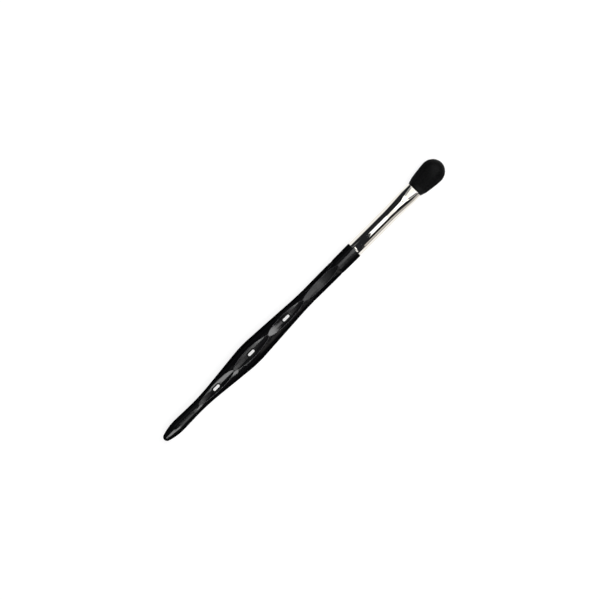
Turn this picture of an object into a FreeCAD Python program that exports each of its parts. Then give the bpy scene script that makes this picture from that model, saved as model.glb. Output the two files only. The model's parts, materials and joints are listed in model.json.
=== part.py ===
"""Eyeshadow brush: carved and pierced handle, pinched ferrule, domed hair tuft and what holds them together.

Millimetres, +Z up. The brush lies along X with its hair towards +X. The origin is under the middle of its
length, on the surface that the belly of the handle lies on. Every piece is drawn from one datum, the seat
where the ferrule butts against the collar of the handle, with the brush axis along X.
"""
import FreeCAD, Part
import math
import os

import Sketcher
from FreeCAD import Placement, Rotation, Vector

# Driving dimensions: name, value in millimetres, degrees or a count, and what it measures.
SIZES = (
    ("tail_nose_radius", 1.8, "round end of the tail"),
    ("tail_span", 9.4, "tail tip to the widest part of the tail"),
    ("swell_diameter", 6, "widest part of the tail"),
    ("waist_span", 11.2, "tail swell to the waist"),
    ("waist_diameter", 5.46, "slimmest part of the tail"),
    ("waist_blend_radius", 103, "hollow curve through the waist"),
    ("belly_span", 34.4, "waist to the belly"),
    ("belly_diameter", 10.84, "widest part of the handle"),
    ("belly_blend_radius", 56, "crown curve over the belly"),
    ("neck_span", 36.6, "belly to the neck"),
    ("neck_diameter", 7.1, "slimmest part below the collar"),
    ("neck_blend_radius", 134, "hollow curve through the neck"),
    ("collar_span", 28.6, "neck to the seat of the ferrule"),
    ("collar_diameter", 7.7, "handle at the seat"),
    ("collar_edge_chamfer", 0.2, "broken edge of the collar's rim"),
    ("scoop_pitch", 22, "middle of one scoop to the next"),
    ("scoop_length", 22, "tip to tip of a scoop"),
    ("belly_scoop_sink", 0.45, "keel of the belly scoop below the line through its tips"),
    ("flank_scoop_sink", 1.1, "the same for the scoops on either side of the belly"),
    ("scoop_rim_radius", 4.2, "hollow of a scoop across the brush"),
    ("slot_length", 3.95, "pierced slot along the brush"),
    ("slot_width", 1.4, "pierced slot across the brush"),
    ("neck_scoop_length", 22, "tip to tip of a neck scoop"),
    ("neck_scoop_sink", 0.72, "keel of a neck scoop below the line through its tips"),
    ("neck_scoop_rim_radius", 8, "hollow of a neck scoop across the brush"),
    ("neck_scoop_count", 6, "scoops round the neck"),
    ("tenon_length", 11, "tenon inside the ferrule"),
    ("tenon_chamfer", 0.5, "lead-in at the end of the tenon"),
    ("glue_film", 0.1, "room for glue between tenon and ferrule"),
    ("ferrule_length", 37.9, "seat to the mouth"),
    ("ferrule_diameter", 7.52, "round end of the ferrule"),
    ("ferrule_wall", 0.3, "sheet thickness"),
    ("barrel_length", 20, "round stretch of the ferrule"),
    ("mouth_length", 5, "straight pinched stretch at the mouth"),
    ("mouth_width", 7.94, "mouth across its flat faces' width"),
    ("mouth_thickness", 6, "mouth between its flat faces"),
    ("tuft_length", 16.9, "hair outside the ferrule"),
    ("tuft_width", 11.26, "widest part of the hair"),
    ("tuft_thickness", 8.2, "thickest part of the hair"),
    ("dome_length", 5.9, "rounded end of the hair"),
    ("hair_clearance", 0.05, "hair to the inside of the mouth"),
    ("root_diameter", 5.6, "tied root of the hair"),
    ("root_bedding", 3.4, "root inside the resin"),
    ("resin_length", 5.2, "resin plug along the ferrule"),
    ("resin_gap", 1.2, "end of the tenon to the resin"),
    ("binding_length", 4.2, "thread binding along the root"),
    ("binding_thickness", 0.4, "build-up of the thread binding"),
    ("binding_clearance", 0.02, "thread binding to the hair and to the resin"),
    ("overrun", 1.5, "how far a cutter stands clear of what it cuts"),
)

# How steeply the pinched stretch still flattens at its crease with the mouth, where 1 is its mean slope.
PINCH_CREASE_SHARE = 1.3
# How many bands, straight along the brush, make up each curved stretch.
PINCH_BANDS = 4
SPREAD_BANDS = 3
FLARE_BANDS = 6
DOME_BANDS = 6
# Where the rounded end of the hair stops short of a point, in degrees of its quarter turn.
DOME_END_ANGLE = 72
# The row of scoops, counted in pitches from the belly: three are pierced, the last goes round the neck.
PIERCED_SCOOPS = (("tail", -1), ("belly", 0), ("upper", 1))
NECK_SCOOP_STEPS = 2
# How near an edge lies to the ring that it is taken for, as a share of the glue film.
RING_MATCH_SHARE = 0.1

doc = FreeCAD.newDocument("eyeshadow_brush")
sheet = doc.addObject("Spreadsheet::Sheet", "sizes")
for row, (alias, value, meaning) in enumerate(SIZES, start=1):
    sheet.set(f"A{row}", meaning)
    sheet.set(f"B{row}", str(value))
    sheet.setAlias(f"B{row}", alias)
doc.recompute()

# Stations along the axis, measured from the seat of the ferrule. The handle lies on the negative side.
NECK = "-sizes.collar_span"
BELLY = f"({NECK} - sizes.neck_span)"
WAIST = f"({BELLY} - sizes.belly_span)"
SWELL = f"({WAIST} - sizes.waist_span)"
TAIL_TIP = f"({SWELL} - sizes.tail_span)"
PINCH_END = "(sizes.ferrule_length - sizes.mouth_length)"
HAIR_TIP = "(sizes.ferrule_length + sizes.tuft_length)"
HAIR_BELLY = f"({HAIR_TIP} - sizes.dome_length)"
RESIN_START = "(sizes.tenon_length + sizes.resin_gap)"
RESIN_END = f"({RESIN_START} + sizes.resin_length)"
ROOT_START = f"({RESIN_END} - sizes.root_bedding)"
BINDING_START = f"({RESIN_END} + sizes.binding_clearance)"
BINDING_END = f"({BINDING_START} + sizes.binding_length)"

# Radii that more than one piece shares.
BORE_RADIUS = "(sizes.ferrule_diameter / 2 - sizes.ferrule_wall)"
TENON_RADIUS = f"({BORE_RADIUS} - sizes.glue_film)"
ROOT_RADIUS = "(sizes.root_diameter / 2)"
HAIR_MOUTH_WIDTH = "(sizes.mouth_width / 2 - sizes.ferrule_wall - sizes.hair_clearance)"
HAIR_MOUTH_THICKNESS = "(sizes.mouth_thickness / 2 - sizes.ferrule_wall - sizes.hair_clearance)"

# Where the datum lies along the whole brush, whose origin is at half its length.
SEAT_X = f"(-{TAIL_TIP} - {HAIR_TIP}) / 2"


def measure(rule):
    """The value of a rule written in the sheet's names."""
    return float(sheet.evalExpression(rule))


def new_body(name):
    """An empty body whose own datum is the seat of the ferrule."""
    body = doc.addObject("PartDesign::Body", name)
    body.Label = name
    body.setExpression("Placement.Base.x", SEAT_X)
    return body


def origin_feature(body, role):
    return next(item for item in body.Origin.OriginFeatures if item.Role == role)


def new_sketch(body, name, role, station=None):
    """A sketch on one of the body's own planes, moved along the plane's normal to a station."""
    sketch = body.newObject("Sketcher::SketchObject", name)
    sketch.AttachmentSupport = [(origin_feature(body, role), "")]
    sketch.MapMode = "FlatFace"
    if station:
        sketch.setExpression("AttachmentOffset.Base.z", station)
    return sketch


def tie(sketch, kind, *places):
    """A geometric constraint, which has no size."""
    sketch.addConstraint(Sketcher.Constraint(kind, *places))


def size(sketch, rule, kind, *places):
    """A constraint that has a size and follows a rule in the sheet's names."""
    value = measure(rule)
    if kind == "Angle":
        value = math.radians(value)
    index = sketch.addConstraint(Sketcher.Constraint(kind, *places, value))
    sketch.setExpression(f"Constraints[{index}]", rule)


def add_feature(body, kind, name, profile=None):
    feature = body.newObject(f"PartDesign::{kind}", name)
    if profile is not None:
        feature.Profile = profile
    return feature


def revolve(body, kind, name, sketch, axis, centred=False):
    """A full turn. A centred one starts and ends on the far side of the axis from its sketch."""
    feature = add_feature(body, kind, name, sketch)
    feature.ReferenceAxis = (sketch, [axis])
    feature.Midplane = centred
    doc.recompute()
    return feature


def polyline(sketch, points):
    """A closed outline of straight lines. Returns the index of its first line."""
    first = sketch.GeometryCount
    corners = [Vector(across, up, 0) for across, up in points]
    for start, end in zip(corners, corners[1:] + corners[:1]):
        sketch.addGeometry(Part.LineSegment(start, end))
    for step in range(len(corners)):
        tie(sketch, "Coincident", first + step, 2, first + (step + 1) % len(corners), 1)
    return first


def rectangle(sketch, left, right, bottom, top):
    """An upright rectangle between four rules, each measured from the sketch's origin."""
    west, east, south, north = [measure(rule) for rule in (left, right, bottom, top)]
    low = polyline(sketch, [(west, south), (east, south), (east, north), (west, north)])
    for line in (low, low + 2):
        tie(sketch, "Horizontal", line)
    for line in (low + 1, low + 3):
        tie(sketch, "Vertical", line)
    size(sketch, left, "DistanceX", -1, 1, low, 1)
    size(sketch, right, "DistanceX", -1, 1, low, 2)
    size(sketch, bottom, "DistanceY", -1, 1, low, 1)
    size(sketch, top, "DistanceY", -1, 1, low + 2, 1)


def round_section(body, name, station, radius):
    """A circle across the brush axis."""
    sketch = new_sketch(body, name, "YZ_Plane", station)
    sketch.addGeometry(Part.Circle(Vector(), Vector(0, 0, 1), measure(radius)))
    tie(sketch, "Coincident", 0, 3, -1, 1)
    size(sketch, radius, "Radius", 0)
    return sketch


def oval_section(body, name, station, half_width, half_thickness):
    """An ellipse across the brush axis, wide along Y."""
    sketch = new_sketch(body, name, "YZ_Plane", station)
    wide = Vector(measure(half_width), 0, 0)
    thick = Vector(0, measure(half_thickness), 0)
    sketch.addGeometry(Part.Ellipse(wide, thick, Vector()))
    sketch.exposeInternalGeometry(0)
    tie(sketch, "Coincident", 0, 3, -1, 1)
    tie(sketch, "Horizontal", 1)
    size(sketch, f"2 * {half_width}", "Distance", 1)
    size(sketch, f"2 * {half_thickness}", "Distance", 2)
    return sketch


def cross_sections(body, name, stages):
    """A circle or an oval at each stage: its station, half its width and half its thickness."""
    sections = []
    for number, (station, half_width, half_thickness) in enumerate(stages, start=1):
        label = f"{name}_section_{number}"
        if half_width == half_thickness:
            sections.append(round_section(body, label, station, half_width))
        else:
            sections.append(oval_section(body, label, station, half_width, half_thickness))
    return sections


def loft(body, kind, name, sections):
    """Straight bands from each section to the next."""
    feature = add_feature(body, kind, name, sections[0])
    feature.Sections = sections[1:]
    feature.Ruled = True
    doc.recompute()
    return feature


def pad(body, kind, name, sketch, length):
    """A straight pad or pocket towards +X from a section."""
    feature = add_feature(body, kind, name, sketch)
    feature.setExpression("Length", length)
    feature.Reversed = kind == "Pocket"
    doc.recompute()
    return feature


def between(start, end, share):
    """A rule that lies a share of the way between two rules."""
    return f"({start} + {share} * ({end} - {start}))"


def even_shares(count):
    """Equal steps from nothing, which is left out, to the whole."""
    return [step / count for step in range(1, count + 1)]


class HandleOutline:
    """Half outline of the handle: a nose, four turning curves and the straight tapers tangent to them."""

    def __init__(self):
        nose = measure("sizes.tail_nose_radius")
        tail = measure("sizes.tail_span")
        swell = measure("sizes.swell_diameter / 2")
        # The tail's curve touches the nose circle and lies level at the swell.
        ogive = ((tail - nose) ** 2 + swell**2 - nose**2) / (2 * (swell - nose))
        self.nose_centre = Vector(measure(TAIL_TIP) + nose, 0, 0)
        self.turns = [
            self.turn(SWELL, swell, ogive),
            self.turn(WAIST, measure("sizes.waist_diameter / 2"), -measure("sizes.waist_blend_radius")),
            self.turn(BELLY, measure("sizes.belly_diameter / 2"), measure("sizes.belly_blend_radius")),
            self.turn(NECK, measure("sizes.neck_diameter / 2"), -measure("sizes.neck_blend_radius")),
            (Vector(0, measure("sizes.collar_diameter / 2"), 0), 0),
        ]
        self.slopes = [self.slope(*pair) for pair in zip(self.turns, self.turns[1:])]
        lean = self.nose_centre - self.turns[0][0]
        self.nose_end = self.nose_centre + lean.normalize() * nose

    @staticmethod
    def turn(station, radius, blend):
        """Centre and signed radius of a turning curve: a crown is positive and a hollow negative."""
        return Vector(measure(station), radius - blend, 0), blend

    @staticmethod
    def slope(left, right):
        """Angle of the straight taper that touches two turning curves."""
        gap = right[0] - left[0]
        return math.atan2(gap.y, gap.x) + math.asin((right[1] - left[1]) / gap.Length)

    @staticmethod
    def touch(turn, slope):
        """Point of a turning curve where the outline has this slope."""
        return turn[0] + Vector(-math.sin(slope), math.cos(slope), 0) * turn[1]

    def radius_at(self, station):
        """Radius of the handle at a station between the swell and the seat."""
        for left, right, slope in zip(self.turns, self.turns[1:], self.slopes):
            start = self.touch(left, slope)
            end = self.touch(right, slope)
            if station < start.x:
                return self.on_turn(left, station)
            if station <= end.x:
                return start.y + (station - start.x) * math.tan(slope)
        return end.y

    @staticmethod
    def on_turn(turn, station):
        centre, blend = turn
        reach = math.sqrt(blend**2 - (station - centre.x) ** 2)
        return centre.y + math.copysign(reach, blend)


def arc_between(centre, start, end):
    """The arc about a centre that runs anticlockwise from one point to another."""
    radius = (start - centre).Length
    angles = [math.atan2(point.y - centre.y, point.x - centre.x) for point in (start, end)]
    return Part.ArcOfCircle(Part.Circle(centre, Vector(0, 0, 1), radius), *angles)


def draw_handle_outline(sketch, outline):
    """The closed half section of the handle and its tenon, above the brush axis."""
    tip = Vector(measure(TAIL_TIP), 0, 0)
    tenon_end = Vector(measure("sizes.tenon_length"), 0, 0)
    nose = sketch.addGeometry(arc_between(outline.nose_centre, outline.nose_end, tip))
    tie(sketch, "PointOnObject", nose, 3, -1)
    size(sketch, "sizes.tail_nose_radius", "Radius", nose)
    size(sketch, f"-{TAIL_TIP}", "DistanceX", nose, 2, -1, 1)
    last, last_end = nose, 1
    start = outline.nose_end
    stations = (SWELL, WAIST, BELLY, NECK)
    names = ("swell", "waist", "belly", "neck")
    for turn, slope, station, name in zip(outline.turns, outline.slopes, stations, names):
        end = outline.touch(turn, slope)
        crown = turn[1] > 0
        curve = sketch.addGeometry(arc_between(turn[0], *((end, start) if crown else (start, end))))
        tie(sketch, "Tangent", last, last_end, curve, 2 if crown else 1)
        turning_point = sketch.addGeometry(Part.Point(Vector(turn[0].x, turn[0].y + turn[1], 0)), True)
        tie(sketch, "PointOnObject", turning_point, 1, curve)
        tie(sketch, "Vertical", turning_point, 1, curve, 3)
        size(sketch, f"-{station}", "DistanceX", turning_point, 1, -1, 1)
        size(sketch, f"sizes.{name}_diameter / 2", "DistanceY", -1, 1, turning_point, 1)
        if name != "swell":
            size(sketch, f"sizes.{name}_blend_radius", "Radius", curve)
        start = outline.touch(outline.turns[outline.turns.index(turn) + 1], slope)
        taper = sketch.addGeometry(Part.LineSegment(end, start))
        tie(sketch, "Tangent", curve, 1 if crown else 2, taper, 1)
        last, last_end = taper, 2
    tenon_radius = measure(TENON_RADIUS)
    corners = [start, Vector(0, tenon_radius, 0), tenon_end + Vector(0, tenon_radius, 0), tenon_end, tip]
    shoulder = sketch.GeometryCount
    for corner, following in zip(corners, corners[1:]):
        line = sketch.addGeometry(Part.LineSegment(corner, following))
        tie(sketch, "Coincident", last, last_end, line, 1)
        last, last_end = line, 2
    tie(sketch, "Coincident", last, last_end, nose, 2)
    tie(sketch, "PointOnObject", shoulder, 1, -2)
    tie(sketch, "Vertical", shoulder)
    tie(sketch, "Horizontal", shoulder + 1)
    tie(sketch, "Vertical", shoulder + 2)
    tie(sketch, "Horizontal", shoulder + 3)
    tie(sketch, "PointOnObject", shoulder + 3, 1, -1)
    size(sketch, "sizes.collar_diameter / 2", "DistanceY", -1, 1, shoulder, 1)
    size(sketch, TENON_RADIUS, "DistanceY", -1, 1, shoulder, 2)
    size(sketch, "sizes.tenon_length", "DistanceX", -1, 1, shoulder + 2, 2)


def scoop_station(steps):
    """Middle of a scoop, some pitches from the belly."""
    return f"({BELLY} + {steps} * sizes.scoop_pitch)"


def cut_scoop(body, name, outline, station, length, sink, rim_radius):
    """A pointed scoop: a wheel with a round rim, leaned to the outline, cuts from tip to tip."""
    half = measure(f"{length} / 2")
    middle = measure(station)
    tips = [outline.radius_at(middle - half), outline.radius_at(middle + half)]
    lean = math.degrees(math.atan2(tips[1] - tips[0], 2 * half))
    sketch = new_sketch(body, f"{name}_rim", "YZ_Plane")
    place = Vector(0, sum(tips) / 2, middle)
    sketch.AttachmentOffset = Placement(place, Rotation(Vector(1, 0, 0), -lean))
    rim_height = f"({rim_radius} - {sink})"
    rim_centre = Vector(0, measure(rim_height), 0)
    rim = sketch.addGeometry(Part.Circle(rim_centre, Vector(0, 0, 1), measure(rim_radius)))
    tie(sketch, "PointOnObject", rim, 3, -2)
    size(sketch, rim_height, "DistanceY", -1, 1, rim, 3)
    size(sketch, rim_radius, "Radius", rim)
    wheel_axis = f"(pow({length} / 2; 2) - pow({sink}; 2)) / (2 * {sink})"
    spindle_height = measure(wheel_axis)
    spindle = Part.LineSegment(Vector(-half, spindle_height, 0), Vector(half, spindle_height, 0))
    axis = sketch.addGeometry(spindle, True)
    tie(sketch, "Symmetric", axis, 1, axis, 2, -2)
    size(sketch, length, "Distance", axis)
    size(sketch, wheel_axis, "DistanceY", -1, 1, axis, 1)
    # No seam crosses the scoop, because the turn starts on the far side of the wheel.
    return revolve(body, "Groove", name, sketch, "Axis0", centred=True)


def cut_slot(body, name, station):
    """An oval slot right through the handle."""
    sketch = new_sketch(body, f"{name}_outline", "XY_Plane")
    middle = measure(station)
    radius = measure("sizes.slot_width / 2")
    reach = measure("sizes.slot_length / 2") - radius
    ends = [Vector(middle - reach, 0, 0), Vector(middle + reach, 0, 0)]
    side = Vector(0, radius, 0)
    sketch.addGeometry(arc_between(ends[0], ends[0] + side, ends[0] - side))
    sketch.addGeometry(Part.LineSegment(ends[0] - side, ends[1] - side))
    sketch.addGeometry(arc_between(ends[1], ends[1] - side, ends[1] + side))
    sketch.addGeometry(Part.LineSegment(ends[1] + side, ends[0] + side))
    for piece in range(4):
        tie(sketch, "Tangent", piece, 2, (piece + 1) % 4, 1)
    tie(sketch, "PointOnObject", 0, 3, -1)
    tie(sketch, "PointOnObject", 2, 3, -1)
    tie(sketch, "Equal", 0, 2)
    size(sketch, "sizes.slot_width / 2", "Radius", 0)
    size(sketch, "sizes.slot_length - sizes.slot_width", "DistanceX", 0, 3, 2, 3)
    size(sketch, f"-{station} + (sizes.slot_length - sizes.slot_width) / 2", "DistanceX", 0, 3, -1, 1)
    slot = add_feature(body, "Pocket", name, sketch)
    slot.SideType = "Symmetric"
    slot.setExpression("Length", "sizes.belly_diameter + 2 * sizes.overrun")
    doc.recompute()
    return slot


def edges_at(feature, matches):
    """Names of the feature's edges that a test picks out."""
    edges = feature.Shape.Edges
    return [f"Edge{number}" for number, edge in enumerate(edges, start=1) if matches(edge)]


def ring_at(station, radius):
    """A test for a full circle about the brush axis."""
    def matches(edge):
        if edge.Degenerated or not isinstance(edge.Curve, Part.Circle):
            return False
        curve = edge.Curve
        miss = abs(curve.Center.x - measure(station)) + abs(curve.Radius - measure(radius))
        return miss < RING_MATCH_SHARE * measure("sizes.glue_film")
    return matches


def break_edge(body, name, base, matches, width):
    """A chamfer on the edges that a test picks out."""
    chamfer = add_feature(body, "Chamfer", name)
    chamfer.Base = (base, edges_at(base, matches))
    chamfer.setExpression("Size", width)
    doc.recompute()
    return chamfer


def make_handle():
    """Slim handle: pointed scoops front and back, a slot through each pair, and scoops round the neck."""
    body = new_body("handle")
    outline = HandleOutline()
    sketch = new_sketch(body, "handle_outline", "XZ_Plane")
    draw_handle_outline(sketch, outline)
    blank = revolve(body, "Revolution", "handle_blank", sketch, "H_Axis")

    collar_ring = ring_at("0", "sizes.collar_diameter / 2")
    rim = break_edge(body, "collar_rim", blank, collar_ring, "sizes.collar_edge_chamfer")
    tenon_ring = ring_at("sizes.tenon_length", TENON_RADIUS)
    break_edge(body, "tenon_lead_in", rim, tenon_ring, "sizes.tenon_chamfer")

    scoops = []
    for name, steps in PIERCED_SCOOPS:
        sink = "sizes.flank_scoop_sink" if steps else "sizes.belly_scoop_sink"
        form = ("sizes.scoop_length", sink, "sizes.scoop_rim_radius")
        scoops.append(cut_scoop(body, f"{name}_scoop", outline, scoop_station(steps), *form))
    back = add_feature(body, "Mirrored", "back_scoops")
    back.Originals = scoops
    back.MirrorPlane = (origin_feature(body, "XY_Plane"), [""])
    body.Tip = back
    doc.recompute()
    for name, steps in PIERCED_SCOOPS:
        cut_slot(body, f"{name}_slot", scoop_station(steps))

    form = ("sizes.neck_scoop_length", "sizes.neck_scoop_sink", "sizes.neck_scoop_rim_radius")
    first = cut_scoop(body, "neck_scoop", outline, scoop_station(NECK_SCOOP_STEPS), *form)
    ring = add_feature(body, "PolarPattern", "neck_scoops")
    ring.Originals = [first]
    ring.Axis = (origin_feature(body, "X_Axis"), [""])
    ring.setExpression("Occurrences", "sizes.neck_scoop_count")
    body.Tip = ring
    doc.recompute()
    return body


def make_tenon_adhesive():
    """Glue film between the tenon and the ferrule."""
    body = new_body("tenon_adhesive")
    sketch = new_sketch(body, "film_section", "XZ_Plane")
    end = "sizes.tenon_length - sizes.tenon_chamfer"
    rectangle(sketch, "sizes.glue_film", end, TENON_RADIUS, BORE_RADIUS)
    revolve(body, "Revolution", "film", sketch, "H_Axis")
    return body


def pinch_share(share):
    """How far the ferrule has flattened along its pinch, level at the barrel and creased at the mouth."""
    return (3 - PINCH_CREASE_SHARE) * share**2 + (PINCH_CREASE_SHARE - 2) * share**3


def pinch_sections(body, name, inset):
    """Cross-sections of the pinched stretch, from barrel to mouth, drawn in from the outside by an inset."""
    barrel = f"(sizes.ferrule_diameter / 2 - {inset})"
    half_width = f"(sizes.mouth_width / 2 - {inset})"
    half_thickness = f"(sizes.mouth_thickness / 2 - {inset})"
    stages = [("sizes.barrel_length", barrel, barrel)]
    for share in even_shares(PINCH_BANDS):
        flat = pinch_share(share)
        station = between("sizes.barrel_length", PINCH_END, share)
        stages.append((station, between(barrel, half_width, flat), between(barrel, half_thickness, flat)))
    return cross_sections(body, name, stages)


def make_ferrule():
    """Thin tube: round barrel, pinched stretch and straight oval mouth, all with one wall."""
    body = new_body("ferrule")
    barrel = round_section(body, "barrel_outside", "0", "sizes.ferrule_diameter / 2")
    pad(body, "Pad", "barrel", barrel, "sizes.barrel_length")
    sections = pinch_sections(body, "outside", "0")
    loft(body, "AdditiveLoft", "pinch", sections)
    pad(body, "Pad", "mouth", sections[-1], "sizes.mouth_length")
    bore = round_section(body, "barrel_inside", "0", BORE_RADIUS)
    pad(body, "Pocket", "barrel_bore", bore, "sizes.barrel_length")
    sections = pinch_sections(body, "inside", "sizes.ferrule_wall")
    loft(body, "SubtractiveLoft", "pinch_bore", sections)
    pad(body, "Pocket", "mouth_bore", sections[-1], "sizes.mouth_length")
    return body


def make_hair_tuft():
    """Hair bundle: tied root, flattened neck in the ferrule, flared head and domed end."""
    body = new_body("hair_tuft")
    mouth = (HAIR_MOUTH_WIDTH, HAIR_MOUTH_THICKNESS)
    widest = ("sizes.tuft_width / 2", "sizes.tuft_thickness / 2")
    stages = [(ROOT_START, ROOT_RADIUS, ROOT_RADIUS), (BINDING_END, ROOT_RADIUS, ROOT_RADIUS)]
    for share in even_shares(SPREAD_BANDS):
        station = between(BINDING_END, PINCH_END, share)
        stages.append((station, *(between(ROOT_RADIUS, half, share) for half in mouth)))
    stages.append(("sizes.ferrule_length", *mouth))
    # The hair spreads fastest where it leaves the mouth: its station goes with the square of its growth.
    for growth in even_shares(FLARE_BANDS):
        station = between("sizes.ferrule_length", HAIR_BELLY, growth**2)
        stages.append((station, *(between(*halves, growth) for halves in zip(mouth, widest))))
    for share in even_shares(DOME_BANDS):
        angle = math.radians(DOME_END_ANGLE * share)
        rise = math.sin(angle) / math.sin(math.radians(DOME_END_ANGLE))
        station = between(HAIR_BELLY, HAIR_TIP, rise)
        stages.append((station, *(f"({math.cos(angle)} * {half})" for half in widest)))
    loft(body, "AdditiveLoft", "bundle", cross_sections(body, "hair", stages))
    return body


def make_root_binding():
    """Close-wound thread round the root, as one band."""
    body = new_body("root_binding")
    sketch = new_sketch(body, "binding_section", "XZ_Plane")
    inside = f"{ROOT_RADIUS} + sizes.binding_clearance"
    rectangle(sketch, BINDING_START, BINDING_END, inside, f"{inside} + sizes.binding_thickness")
    revolve(body, "Revolution", "binding", sketch, "H_Axis")
    return body


def make_resin_plug():
    """Resin that fills the barrel behind the thread and holds the cut ends of the hair."""
    body = new_body("resin_plug")
    plug = round_section(body, "plug_section", RESIN_START, BORE_RADIUS)
    pad(body, "Pad", "plug", plug, "sizes.resin_length")
    socket = round_section(body, "socket_section", ROOT_START, ROOT_RADIUS)
    pad(body, "Pocket", "root_socket", socket, "sizes.root_bedding")
    return body


def lay_down(bodies):
    """Lifts the pieces together until the lowest of them touches the surface at zero height."""
    lowest = min(body.Shape.optimalBoundingBox(False).ZMin for body in bodies)
    for body in bodies:
        body.Placement.Base.z = -lowest


def check(bodies):
    """Stops before anything is written if a feature failed or a piece is not one sound solid."""
    doc.recompute()
    for item in doc.Objects:
        if {"Invalid", "Error"} & set(item.State):
            raise RuntimeError(f"{item.Name} failed: {item.State}")
    for body in bodies:
        shape = body.Shape
        if shape.isNull() or not shape.isValid() or len(shape.Solids) != 1:
            raise RuntimeError(f"{body.Label} is not one sound solid")


pieces = [
    make_handle(),
    make_ferrule(),
    make_hair_tuft(),
    make_root_binding(),
    make_resin_plug(),
    make_tenon_adhesive(),
]
lay_down(pieces)
check(pieces)
os.makedirs("parts", exist_ok=True)
for piece in pieces:
    piece.Shape.exportStep(f"parts/{piece.Label}.step")
    print(f"{piece.Label}: {piece.Shape.Volume:.1f} mm3, {len(piece.Shape.Faces)} faces")
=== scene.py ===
"""Eyeshadow brush in the studio: finishes for the solid pieces, lips round the slots of the handle, a smooth
ferrule and a tuft of single hairs.

Metres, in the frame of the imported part: +X runs along the brush to its hair, +Z points up, and the brush
lies on the floor at zero height.
"""

import json
import math

import bpy
import numpy as np
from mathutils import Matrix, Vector


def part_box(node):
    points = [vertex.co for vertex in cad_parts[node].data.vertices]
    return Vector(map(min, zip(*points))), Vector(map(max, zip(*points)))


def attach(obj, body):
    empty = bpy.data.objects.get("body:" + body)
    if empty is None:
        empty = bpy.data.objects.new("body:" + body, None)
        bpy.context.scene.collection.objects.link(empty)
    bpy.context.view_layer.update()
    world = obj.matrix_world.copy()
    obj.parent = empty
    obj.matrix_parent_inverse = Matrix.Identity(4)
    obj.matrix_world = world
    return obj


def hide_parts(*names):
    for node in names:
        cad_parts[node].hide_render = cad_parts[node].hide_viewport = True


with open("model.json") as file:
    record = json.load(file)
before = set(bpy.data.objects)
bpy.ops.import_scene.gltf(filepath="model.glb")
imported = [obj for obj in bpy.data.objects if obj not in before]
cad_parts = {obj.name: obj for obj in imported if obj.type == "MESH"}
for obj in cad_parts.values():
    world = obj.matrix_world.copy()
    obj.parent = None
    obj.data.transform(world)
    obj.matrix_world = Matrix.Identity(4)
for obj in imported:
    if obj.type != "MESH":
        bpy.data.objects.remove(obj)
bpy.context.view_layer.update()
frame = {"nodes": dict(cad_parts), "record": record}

MM = 0.001

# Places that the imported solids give.
FERRULE_LOW, FERRULE_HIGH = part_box("ferrule")
HAIR_LOW, HAIR_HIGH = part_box("hair_tuft")
AXIS_Z = (FERRULE_LOW.z + FERRULE_HIGH.z) / 2
SEAT = FERRULE_LOW.x
MOUTH = FERRULE_HIGH.x
HAIR_TIP = HAIR_HIGH.x
BARREL_RADIUS = (FERRULE_HIGH.z - FERRULE_LOW.z) / 2
MOUTH_HALF_WIDTH = FERRULE_HIGH.y
TUFT_HALF_WIDTH = HAIR_HIGH.y
TUFT_HALF_THICKNESS = (HAIR_HIGH.z - HAIR_LOW.z) / 2

# Ferrule: a round barrel, then a pinch, then a flat oval mouth.
BARREL_LENGTH = 20 * MM
MOUTH_LENGTH = 5 * MM
MOUTH_HALF_THICKNESS = 3 * MM
MOUTH_SQUARENESS = 0.35
FERRULE_WALL = 0.3 * MM
FERRULE_EDGE = 0.13 * MM
# How steeply the pinch meets the mouth: 0 would be smooth.
PINCH_CREASE = 1.3
# Flats pressed into the pinch: their start on the middle line, and how much later they start at the sides.
FLAT_START = 29.9 * MM
FLAT_BOW = 28 * MM
FLAT_DEPTH = 0.36 * MM
FLAT_EDGE = 0.62 * MM
# The higher, the sooner the flats fade out down the tube's sides.
FLAT_FADE = 4
FERRULE_SEGMENTS = 240
EDGE_RINGS = 6
BARREL_RINGS = 24
PINCH_RINGS = 180
BORE_RINGS = 40

# Lips of the slots, which stand on the hollow scoops in front and behind.
SCOOP_PITCH = 22 * MM
# Into the slot, and out over the scoop.
LIP_REACH = 0.1 * MM
LIP_WIDTH = 0.62 * MM
LIP_RISE = 0.05 * MM
LIP_FOOT = 0.08 * MM
LIP_DEPTH = 0.6 * MM
# Nearest place to the slot's wall where the height of the scoop is taken.
LIP_PROBE = 0.08 * MM
LIP_ROUND_POINTS = 11
LIP_END_SECTIONS = 17

# Hair: it starts inside the mouth, flares up to its belly and closes in a dome.
ROOT_DEPTH = 3 * MM
HAIR_ROOT = MOUTH - ROOT_DEPTH
HAIR_CLEARANCE = 0.05 * MM
DOME_LENGTH = 5.9 * MM
TUFT_BELLY = HAIR_TIP - DOME_LENGTH
# How far the softest hair ends stand out of the solid that they replace.
TIP_FLUFF = 0.5 * MM
CORE_SHARE = 0.975
CORE_SEGMENTS = 72
CORE_RINGS = 30
CORE_DOME_TURNS = np.radians(np.linspace(8, 88, 14))
STRAND_COUNT = 6200
STRAND_RINGS = 6
STRAND_SIDES = 3
STRAND_SEED = 11
STRAND_RADIUS = 0.045 * MM
STRAND_RADIUS_SHARES = (0.75, 1.2)
STRAND_TIP_RADIUS = 0.012 * MM
STRAND_WANDER = 0.07 * MM
STRAND_SHORTFALL = 0.3 * MM
STRAND_TONES = (0.2, 1)
# Under 1, the strands crowd towards the outside of the tuft.
STRAND_CROWDING = 0.2
# Over 1, few strands end far short of the dome.
SHORTFALL_RARITY = 3

# Camera: straight above the brush, which lies on the picture's diagonal. Lens and sensor in millimetres.
PICTURE_SPAN = 268.2 * MM
PICTURE_CENTRE = Vector((-0.4 * MM, 1.3 * MM, AXIS_Z))
CAMERA_TURN = math.radians(-45)
CAMERA_LENS = 200
CAMERA_SENSOR = 36

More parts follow.
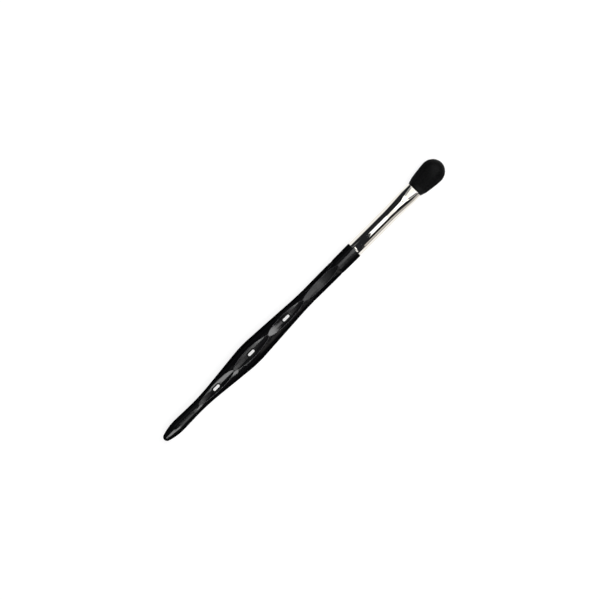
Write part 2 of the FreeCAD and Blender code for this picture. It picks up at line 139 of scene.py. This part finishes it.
# Floor: its own glow and its lit part make white together.
FLOOR_GLOW = 0.78
FLOOR_COLOUR = (0.28, 0.28, 0.28)
FLOOR_RADIUS = 8
FLOOR_SEGMENTS = 96

# World: the pale horizon fades between two heights, where 1 is straight up.
HORIZON_FADE = (0.09, 0.13)
HORIZON_COLOUR = (0.95, 0.95, 0.95)
SKY_COLOUR = (0.018, 0.019, 0.022)

# Lamps: each one overhead has its start, end, near and far edge, and its brightness, where 1 is white.
LAMP_HEIGHT = 0.8
CEILING_LAMPS = {
    "far_head": (0.27, 0.85, -0.62, 0.62, 4.6),
    "high_head": (0.19, 0.27, -0.24, 0.14, 2.2),
    "mid_head": (0.097, 0.19, -0.32, 0.18, 1.25),
    "near_head": (0.066, 0.097, -0.36, 0.26, 1.5),
    "collar": (0.01, 0.042, -0.34, 0.3, 2.6),
    "near_tail": (-0.1, 0.01, -0.36, 0.24, 0.3),
    "mid_tail": (-0.045, 0.01, -1.1, -0.36, 0.7),
    "low_tail": (-0.145, -0.045, -1.1, -0.36, 1.15),
    "high_tail": (-0.3, -0.145, -1.1, -0.36, 4.5),
    "far_tail": (-0.7, -0.3, -0.8, 0.02, 4.0),
    "far_side": (-0.3, 0.062, 0.55, 0.95, 0.12),
}
CEILING_LAMP_COLOUR = (1.0, 1.0, 1.0)
SIDE_LAMP_PLACE = (0.2, -1.18, 0.55)
SIDE_LAMP_SIZE = (0.26, 0.5)
SIDE_LAMP_TILT = math.radians(65)
SIDE_LAMP_BRIGHTNESS = 0.6
SIDE_LAMP_COLOUR = (1.0, 0.95, 0.89)

# Sockets of the mix node that take its two colours, and the one that gives their blend.
MIX_FIRST, MIX_SECOND, MIX_BLEND = 6, 7, 2


def set_inputs(tree, node, inputs):
    """Gives a node's inputs what they take: a value or another node's output."""
    for name, value in inputs.items():
        if isinstance(value, bpy.types.NodeSocket):
            tree.links.new(value, node.inputs[name])
        else:
            node.inputs[name].default_value = value


def add_node(tree, kind, inputs=None, **settings):
    """A new node with its settings and inputs."""
    node = tree.nodes.new(kind)
    for name, value in settings.items():
        setattr(node, name, value)
    set_inputs(tree, node, inputs or {})
    return node


def new_material(name):
    """A material, its node tree and its main shader."""
    material = bpy.data.materials.new(name)
    material.use_nodes = True
    tree = material.node_tree
    return material, tree, tree.nodes["Principled BSDF"]


def place_coords(tree, scale):
    """Object coordinates in metres, stretched by a scale along each axis."""
    coords = add_node(tree, "ShaderNodeTexCoord")
    inputs = {"Vector": coords.outputs["Object"], "Scale": scale}
    return add_node(tree, "ShaderNodeMapping", inputs).outputs[0]


def noise(tree, scale, detail=2.0):
    """Grain from zero to one, with as many waves to the metre along each axis as its scale says."""
    inputs = {"Vector": place_coords(tree, scale), "Scale": 1.0, "Detail": detail}
    return add_node(tree, "ShaderNodeTexNoise", inputs).outputs["Fac"]


def spread(tree, value, first, last, start=0.3, end=0.7):
    """A value that goes from start to end, turned into one that goes from first to last."""
    inputs = {"Value": value, "From Min": start, "From Max": end, "To Min": first, "To Max": last}
    return add_node(tree, "ShaderNodeMapRange", inputs).outputs[0]


def maths(tree, operation, *values):
    """What an operation makes of its values."""
    return add_node(tree, "ShaderNodeMath", dict(enumerate(values)), operation=operation).outputs[0]


def blend_colours(tree, factor, first, second):
    """The first colour where the factor is zero, and the second where it is one."""
    inputs = {"Factor": factor, MIX_FIRST: (*first, 1), MIX_SECOND: (*second, 1)}
    return add_node(tree, "ShaderNodeMix", inputs, data_type="RGBA").outputs[MIX_BLEND]


def bump(tree, height, distance, normal=None):
    """A normal roughened by grain as high as a distance, over a given normal or the mesh's own."""
    inputs = {"Height": height, "Distance": distance, "Strength": 1.0}
    if normal is not None:
        inputs["Normal"] = normal
    return add_node(tree, "ShaderNodeBump", inputs).outputs[0]


def black_lacquer():
    """Softly glossy black with a faint ripple and uneven polish; its edges are duller from wear and paler
    from a painted highlight.
    """
    clean_tone, wear_and_highlight_tone = (0.002, 0.0021, 0.0024), (0.1, 0.1, 0.107)
    edge_radius, ripple_height = 0.22 * MM, 0.004 * MM
    full_gloss, edge_dullness = 0.5, 0.1
    material, tree, shader = new_material("black_lacquer")
    soft_normal = add_node(tree, "ShaderNodeBevel", {"Radius": edge_radius}, samples=6).outputs[0]
    true_normal = add_node(tree, "ShaderNodeNewGeometry").outputs["Normal"]
    normals = {0: soft_normal, 1: true_normal}
    likeness = add_node(tree, "ShaderNodeVectorMath", normals, operation="DOT_PRODUCT").outputs["Value"]
    # Along the ridges the edge mask pales the base colour into a painted highlight, which partly stands for
    # real wear, and dulls the gloss.
    edge = spread(tree, likeness, 1.0, 0.0, start=0.9, end=0.999)
    # The gloss fades where the surface turns away, so the pale horizon doesn't show in the sides.
    turned = add_node(tree, "ShaderNodeLayerWeight", {"Blend": 0.5}).outputs["Facing"]
    polish = spread(tree, noise(tree, (90, 260, 260), detail=4.0), 0.12, 0.18)
    ripple = noise(tree, (500, 700, 700))
    set_inputs(tree, shader, {
        "Base Color": blend_colours(tree, edge, clean_tone, wear_and_highlight_tone),
        "Roughness": maths(tree, "MULTIPLY_ADD", edge, edge_dullness, polish),
        "Specular IOR Level": spread(tree, turned, full_gloss, 0.0, start=0.09, end=0.28),
        "IOR": 1.6,
        "Normal": bump(tree, ripple, ripple_height, soft_normal),
    })
    return material


def dull_lacquer():
    """Black that the polish doesn't reach, with fine grain."""
    dark_tone, pale_tone = (0.0015, 0.0016, 0.0018), (0.004, 0.004, 0.0045)
    grain_height = 0.004 * MM
    material, tree, shader = new_material("dull_lacquer")
    grain = noise(tree, (2500, 2500, 2500), detail=3.0)
    set_inputs(tree, shader, {
        "Base Color": blend_colours(tree, spread(tree, grain, 0.0, 1.0), dark_tone, pale_tone),
        "Roughness": spread(tree, grain, 0.45, 0.6),
        "Specular IOR Level": 0.1,
        "Normal": bump(tree, grain, grain_height),
    })
    return material


def polished_nickel():
    """Warm polished metal with fine marks round the tube, a little tarnish and uneven polish."""
    tarnished_tone, bright_tone = (0.80, 0.765, 0.70), (0.86, 0.835, 0.785)
    mark_height, mark_dullness = 0.00004 * MM, 0.006
    material, tree, shader = new_material("polished_nickel")
    marks = noise(tree, (9000, 300, 300), detail=3.0)
    cloud = noise(tree, (160, 420, 420), detail=4.0)
    polish = spread(tree, cloud, 0.008, 0.016)
    set_inputs(tree, shader, {
        "Base Color": blend_colours(tree, spread(tree, cloud, 0.0, 1.0), tarnished_tone, bright_tone),
        "Metallic": 1.0,
        "Roughness": maths(tree, "MULTIPLY_ADD", marks, mark_dullness, polish),
        "Normal": bump(tree, marks, mark_height),
    })
    return material


def black_hair():
    """Matt black hair: each strand has its own tone, and the shine runs along it."""
    dark_tone, pale_tone = (0.001, 0.0011, 0.0013), (0.0045, 0.0045, 0.005)
    streak_height = 0.02 * MM
    material, tree, shader = new_material("black_hair")
    strand_tone = add_node(tree, "ShaderNodeAttribute", attribute_name="strand_tone").outputs["Fac"]
    streak = noise(tree, (120, 9000, 9000), detail=3.0)
    share = spread(tree, maths(tree, "MULTIPLY", strand_tone, streak), 0.0, 1.0, start=0.0, end=0.6)
    set_inputs(tree, shader, {
        "Base Color": blend_colours(tree, share, dark_tone, pale_tone),
        "Roughness": spread(tree, streak, 0.42, 0.62),
        "Specular IOR Level": 0.12,
        "Normal": bump(tree, streak, streak_height),
    })
    return material


def binding_thread():
    """Undyed thread, wound close, with painted shade darkening the grooves between its turns."""
    groove_shade_tone, thread_tone = (0.36, 0.32, 0.26), (0.66, 0.62, 0.53)
    groove_depth = 0.1 * MM
    material, tree, shader = new_material("binding_thread")
    winding = {"Vector": place_coords(tree, (1, 1, 1)), "Scale": 800.0, "Distortion": 0.4}
    turns = add_node(tree, "ShaderNodeTexWave", winding).outputs["Fac"]
    set_inputs(tree, shader, {
        # The darker tone between the turns is painted shade in the grooves.
        "Base Color": blend_colours(tree, turns, groove_shade_tone, thread_tone),
        "Roughness": 0.8,
        "Normal": bump(tree, turns, groove_depth),
    })
    return material


def cured_resin():
    """Amber resin with cloudy patches."""
    deep_tone, cloudy_tone = (0.42, 0.31, 0.14), (0.62, 0.51, 0.3)
    material, tree, shader = new_material("cured_resin")
    cloud = noise(tree, (600, 600, 600), detail=4.0)
    set_inputs(tree, shader, {
        "Base Color": blend_colours(tree, spread(tree, cloud, 0.0, 1.0), deep_tone, cloudy_tone),
        "Roughness": spread(tree, cloud, 0.3, 0.5),
    })
    return material


def add_object(name, data):
    """A new object in the scene."""
    thing = bpy.data.objects.new(name, data)
    bpy.context.scene.collection.objects.link(thing)
    return thing


def new_piece(name, points, faces, material):
    """A smooth mesh that rides on the brush."""
    mesh = bpy.data.meshes.new(name)
    mesh.from_pydata(points, [], faces)
    mesh.update()
    mesh.shade_smooth()
    mesh.materials.append(material)
    piece = add_object(name, mesh)
    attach(piece, "root")
    return piece


def ring_turns(segments):
    """Even turns once round a ring."""
    return np.arange(segments) / segments * 2 * math.pi


def ring_faces(ring_count, segments, closed):
    """Quads between neighbouring rings; a closed run also joins its last ring to its first."""
    faces = []
    for ring in range(ring_count if closed else ring_count - 1):
        low = ring * segments
        high = (ring + 1) % ring_count * segments
        for step in range(segments):
            following = (step + 1) % segments
            faces.append((low + step, low + following, high + following, high + step))
    return faces


def capped_faces(ring_count, segments):
    """Faces of an open run of rings with a flat cap on each end."""
    first = tuple(range(segments))
    last = tuple(range((ring_count - 1) * segments, ring_count * segments))
    return ring_faces(ring_count, segments, False) + [first[::-1], last]


def flat_depth(station, side, face, half_width):
    """How deep a ring is pressed: side and face are shares of its half width and half thickness.

    The jaws that flatten the mouth leave a step round the flats, which widen towards it.
    """
    start = FLAT_START + FLAT_BOW * side**2
    slant = 2 * FLAT_BOW * side / half_width
    edge = FLAT_EDGE * np.sqrt(1 + slant**2)
    return FLAT_DEPTH * np.clip((station - start) / edge, 0, 1) * np.abs(face) ** FLAT_FADE


def ferrule_ring(station, inset):
    """Points of the ferrule's cross-section at a distance from its seat, drawn in by an inset."""
    pinch_length = MOUTH - SEAT - BARREL_LENGTH - MOUTH_LENGTH
    share = min(max((station - BARREL_LENGTH) / pinch_length, 0), 1)
    # A cubic from 0 to 1, level at the barrel and as steep as the crease at the mouth.
    flat = (3 - PINCH_CREASE) * share**2 + (PINCH_CREASE - 2) * share**3
    half_width = BARREL_RADIUS + flat * (MOUTH_HALF_WIDTH - BARREL_RADIUS) - inset
    half_thickness = BARREL_RADIUS + flat * (MOUTH_HALF_THICKNESS - BARREL_RADIUS) - inset
    power = 2 / (2 + MOUTH_SQUARENESS * flat)
    turn = ring_turns(FERRULE_SEGMENTS)
    side = np.sign(np.cos(turn)) * np.abs(np.cos(turn)) ** power
    face = np.sign(np.sin(turn)) * np.abs(np.sin(turn)) ** power
    up = half_thickness * face - np.sign(face) * flat_depth(station, side, face, half_width)
    return np.column_stack((np.full(FERRULE_SEGMENTS, SEAT + station), half_width * side, AXIS_Z + up))


def ferrule_profile():
    """Distances from the seat and insets: out along the outside, over the lip and back along the inside."""
    length = MOUTH - SEAT
    quarter = np.linspace(math.pi / 2, 0, EDGE_RINGS)
    seat_edge = [(FERRULE_EDGE * (1 - math.sin(a)), FERRULE_EDGE * (1 - math.cos(a))) for a in quarter]
    lip = [(length - x, inset) for x, inset in reversed(seat_edge)]
    barrel = np.linspace(FERRULE_EDGE, BARREL_LENGTH, BARREL_RINGS)[1:]
    pinch = np.linspace(BARREL_LENGTH, length - FERRULE_EDGE, PINCH_RINGS)[1:-1]
    inner_lip = [(x, FERRULE_WALL - inset) for x, inset in reversed(lip)]
    bore = np.linspace(length - FERRULE_EDGE, FERRULE_EDGE, BORE_RINGS)[1:-1]
    inner_seat = [(x, FERRULE_WALL - inset) for x, inset in reversed(seat_edge)]
    outside = seat_edge + [(x, 0) for x in (*barrel, *pinch)] + lip
    return outside + inner_lip + [(x, FERRULE_WALL) for x in bore] + inner_seat


def make_ferrule(material):
    """Thin drawn tube with rounded edges, pinched and pressed flat at the mouth."""
    profile = ferrule_profile()
    points = np.concatenate([ferrule_ring(x, inset) for x, inset in profile])
    faces = ring_faces(len(profile), FERRULE_SEGMENTS, True)
    piece = new_piece("ferrule_tube", points.tolist(), faces, material)
    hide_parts("ferrule")


def lip_section():
    """Distances out from the slot's wall and heights above the scoop, once round a lip."""
    turn = np.linspace(math.pi, 0, LIP_ROUND_POINTS)
    out = (LIP_WIDTH - LIP_REACH) / 2 + (LIP_WIDTH + LIP_REACH) / 2 * np.cos(turn)
    height = (LIP_FOOT + LIP_RISE) * np.sin(turn) - LIP_FOOT
    return np.append(out, (0, -LIP_REACH)), np.append(height, (-LIP_DEPTH, -LIP_DEPTH))


def scoop_height(place, face):
    """Height of the handle at a place, met by a ray from well above it or, behind, from well below."""
    start = place + Vector((0, 0, AXIS_Z + face * TUFT_HALF_WIDTH))
    return frame["nodes"]["handle"].ray_cast(start, Vector((0, 0, -face)))[1].z


def lip_points(centre, half_run, radius, face):
    """Points of one lip, section by section round the slot; face is 1 in front and -1 behind."""
    out, height = lip_section()
    probes = (LIP_PROBE, LIP_WIDTH)
    arc = np.linspace(-math.pi / 2, math.pi / 2, LIP_END_SECTIONS)
    points = []
    for end, turn in [(1, a) for a in arc] + [(-1, a + math.pi) for a in arc]:
        run = Vector((centre + end * half_run, 0, 0))
        away = Vector((math.cos(turn), math.sin(turn), 0))
        ground = [scoop_height(run + away * (radius + probe), face) for probe in probes]
        for step, rise in zip(out, height):
            floor = np.interp(step, probes, ground)
            points.append((*(run + away * (radius + step)).xy, floor + face * rise))
    return points


def make_slot_lips(material):
    """Rounded dull lips round the mouths of the three slots, in front and behind."""
    mount = next(mount for mount in frame["record"]["mounts"] if mount["name"] == "belly_slot")
    radius = mount["dims"]["hole_r_mm"] * MM
    half_run = mount["dims"]["slot_length_mm"] * MM / 2 - radius
    section_size = len(lip_section()[0])
    points, faces = [], []
    for place in (-1, 0, 1):
        for face in (1, -1):
            lip = lip_points(mount["pos_m"][0] + place * SCOOP_PITCH, half_run, radius, face)
            for corners in ring_faces(len(lip) // section_size, section_size, True):
                # Behind, the corners run the other way round, so that the faces still look out.
                faces.append(tuple(len(points) + corner for corner in corners[::face]))
            points += lip
    new_piece("slot_lips", points, faces, material)


def tuft_halves(station):
    """Half width and half thickness of the hair bundle at places along the brush, up to its widest part."""
    growth = np.sqrt(np.clip((station - MOUTH) / (TUFT_BELLY - MOUTH), 0, 1))
    inset = FERRULE_WALL + HAIR_CLEARANCE
    width = MOUTH_HALF_WIDTH - inset
    thickness = MOUTH_HALF_THICKNESS - FLAT_DEPTH - inset
    return width + growth * (TUFT_HALF_WIDTH - width), thickness + growth * (TUFT_HALF_THICKNESS - thickness)


def make_hair_core(material):
    """Closed dark heart of the tuft, which stops light between the strands."""
    rings = [(station, CORE_SHARE) for station in np.linspace(HAIR_ROOT, TUFT_BELLY, CORE_RINGS)]
    for turn in CORE_DOME_TURNS:
        rise = CORE_SHARE * (DOME_LENGTH + TIP_FLUFF) * math.sin(turn)
        rings.append((TUFT_BELLY + rise, CORE_SHARE * math.cos(turn)))
    turn = ring_turns(CORE_SEGMENTS)
    points = []
    for station, share in rings:
        width, thickness = tuft_halves(station)
        across = share * width * np.cos(turn)
        up = share * thickness * np.sin(turn)
        points.append(np.column_stack((np.full(CORE_SEGMENTS, station), across, AXIS_Z + up)))
    faces = capped_faces(len(rings), CORE_SEGMENTS)
    piece = new_piece("hair_core", np.concatenate(points).tolist(), faces, material)
    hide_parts("hair_tuft")


def strand_lines(random):
    """Where the rings of each strand lie along the brush, across it and above its axis."""
    reach = random.uniform(0, 1, STRAND_COUNT) ** STRAND_CROWDING
    angle = random.uniform(0, 2 * math.pi, STRAND_COUNT)
    shortfall = random.uniform(0, 1, STRAND_COUNT) ** SHORTFALL_RARITY * STRAND_SHORTFALL
    end = TUFT_BELLY + (DOME_LENGTH + TIP_FLUFF) * np.sqrt(1 - reach**2) - shortfall
    share = np.linspace(0, 1, STRAND_RINGS)
    station = HAIR_ROOT + np.outer(end - HAIR_ROOT, share)
    width, thickness = tuft_halves(station)
    wander = random.normal(0, STRAND_WANDER, (2, STRAND_COUNT, 1)) * share**2
    across = reach[:, None] * np.cos(angle)[:, None] * width + wander[0]
    up = reach[:, None] * np.sin(angle)[:, None] * thickness + wander[1]
    return station, across, up


def strand_points(random):
    """Points of all strands, ring by ring, with each strand tapered to its tip."""
    station, across, up = strand_lines(random)
    taper = 1 - np.linspace(0, 1, STRAND_RINGS) ** 3
    radius = STRAND_RADIUS * random.uniform(*STRAND_RADIUS_SHARES, STRAND_COUNT)[:, None] * taper
    radius = np.maximum(radius, STRAND_TIP_RADIUS)
    spin = random.uniform(0, 2 * math.pi, STRAND_COUNT)[:, None, None] + ring_turns(STRAND_SIDES)
    points = np.empty((STRAND_COUNT, STRAND_RINGS, STRAND_SIDES, 3))
    points[..., 0] = station[..., None]
    points[..., 1] = across[..., None] + radius[..., None] * np.cos(spin)
    points[..., 2] = AXIS_Z + up[..., None] + radius[..., None] * np.sin(spin)
    return points.reshape(-1, 3)


def make_hair_strands(material):
    """Single hairs, from inside the mouth to the domed end, each with a tone of its own."""
    random = np.random.default_rng(STRAND_SEED)
    points = strand_points(random)
    strand_size = STRAND_RINGS * STRAND_SIDES
    single = capped_faces(STRAND_RINGS, STRAND_SIDES)
    starts = range(0, len(points), strand_size)
    faces = [tuple(start + corner for corner in face) for start in starts for face in single]
    piece = new_piece("hair_strands", points.tolist(), faces, material)
    tones = np.repeat(random.uniform(*STRAND_TONES, STRAND_COUNT), strand_size)
    attribute = piece.data.attributes.new("strand_tone", "FLOAT", "POINT")
    attribute.data.foreach_set("value", tones.astype(np.float32))
    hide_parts("hair_tuft")


def dress(node, material):
    """Gives a solid piece its finish."""
    frame["nodes"][node].data.materials.clear()
    frame["nodes"][node].data.materials.append(material)


def white_floor():
    """White of which some is its own glow, for what looks straight at it, and the rest is lit."""
    material, tree, shader = new_material("white_floor")
    rays = add_node(tree, "ShaderNodeLightPath").outputs
    seen = rays["Is Camera Ray"]
    for other in ("Is Glossy Ray", "Is Transmission Ray"):
        seen = maths(tree, "ADD", seen, rays[other])
    set_inputs(tree, shader, {
        "Base Color": (*FLOOR_COLOUR, 1),
        "Roughness": 1.0,
        "Specular IOR Level": 0.0,
        "Emission Color": (1, 1, 1, 1),
        "Emission Strength": maths(tree, "MULTIPLY", seen, FLOOR_GLOW),
    })
    return material


def make_floor(material):
    """Wide round floor."""
    turns = ring_turns(FLOOR_SEGMENTS)
    points = [(FLOOR_RADIUS * math.cos(turn), FLOOR_RADIUS * math.sin(turn), 0) for turn in turns]
    mesh = bpy.data.meshes.new("floor")
    mesh.from_pydata(points, [], [tuple(range(FLOOR_SEGMENTS))])
    mesh.materials.append(material)
    floor = add_object("floor", mesh)


def make_world():
    """Pale round the horizon and dim above, so that the lamps stand out in what shines."""
    world = bpy.data.worlds.new("studio")
    world.use_nodes = True
    tree = world.node_tree
    direction = add_node(tree, "ShaderNodeTexCoord").outputs["Generated"]
    height = add_node(tree, "ShaderNodeSeparateXYZ", {"Vector": direction}).outputs["Z"]
    pale = spread(tree, height, 1.0, 0.0, *HORIZON_FADE)
    colour = blend_colours(tree, pale, SKY_COLOUR, HORIZON_COLOUR)
    set_inputs(tree, tree.nodes["Background"], {"Color": colour})
    bpy.context.scene.world = world


def add_softbox(name, centre, size, tilt, brightness, colour):
    """A rectangular lamp with its length along the brush, tilted about it from facing straight down."""
    lamp = bpy.data.lights.new(name, "AREA")
    lamp.shape = "RECTANGLE"
    lamp.size, lamp.size_y = size
    lamp.energy = brightness * math.pi * size[0] * size[1]
    lamp.color = colour
    softbox = add_object(name, lamp)
    softbox.location = centre
    softbox.rotation_euler = (tilt, 0, 0)


def light_studio():
    """Softboxes overhead, with dark gaps between them, and a low warm one along the near side."""
    for name, (start, end, near, far, brightness) in CEILING_LAMPS.items():
        centre = ((start + end) / 2, (near + far) / 2, LAMP_HEIGHT)
        add_softbox(name, centre, (end - start, far - near), 0, brightness, CEILING_LAMP_COLOUR)
    form = (SIDE_LAMP_PLACE, SIDE_LAMP_SIZE, SIDE_LAMP_TILT)
    add_softbox("side_lamp", *form, SIDE_LAMP_BRIGHTNESS, SIDE_LAMP_COLOUR)


def make_camera():
    """Long lens, as far above the brush as the picture's span needs."""
    camera = add_object("camera", bpy.data.cameras.new("camera"))
    camera.data.lens = CAMERA_LENS
    camera.data.sensor_width = CAMERA_SENSOR
    distance = PICTURE_SPAN * CAMERA_LENS / CAMERA_SENSOR
    camera.location = PICTURE_CENTRE + Vector((0, 0, distance))
    camera.rotation_euler = (0, 0, CAMERA_TURN)
    bpy.context.scene.camera = camera


dress("handle", black_lacquer())
dress("root_binding", binding_thread())
resin = cured_resin()
dress("resin_plug", resin)
dress("tenon_adhesive", resin)
make_slot_lips(dull_lacquer())
make_ferrule(polished_nickel())
hair = black_hair()
make_hair_core(hair)
make_hair_strands(hair)

make_floor(white_floor())
make_world()
light_studio()
make_camera()
bpy.context.scene.view_settings.view_transform = "Standard"
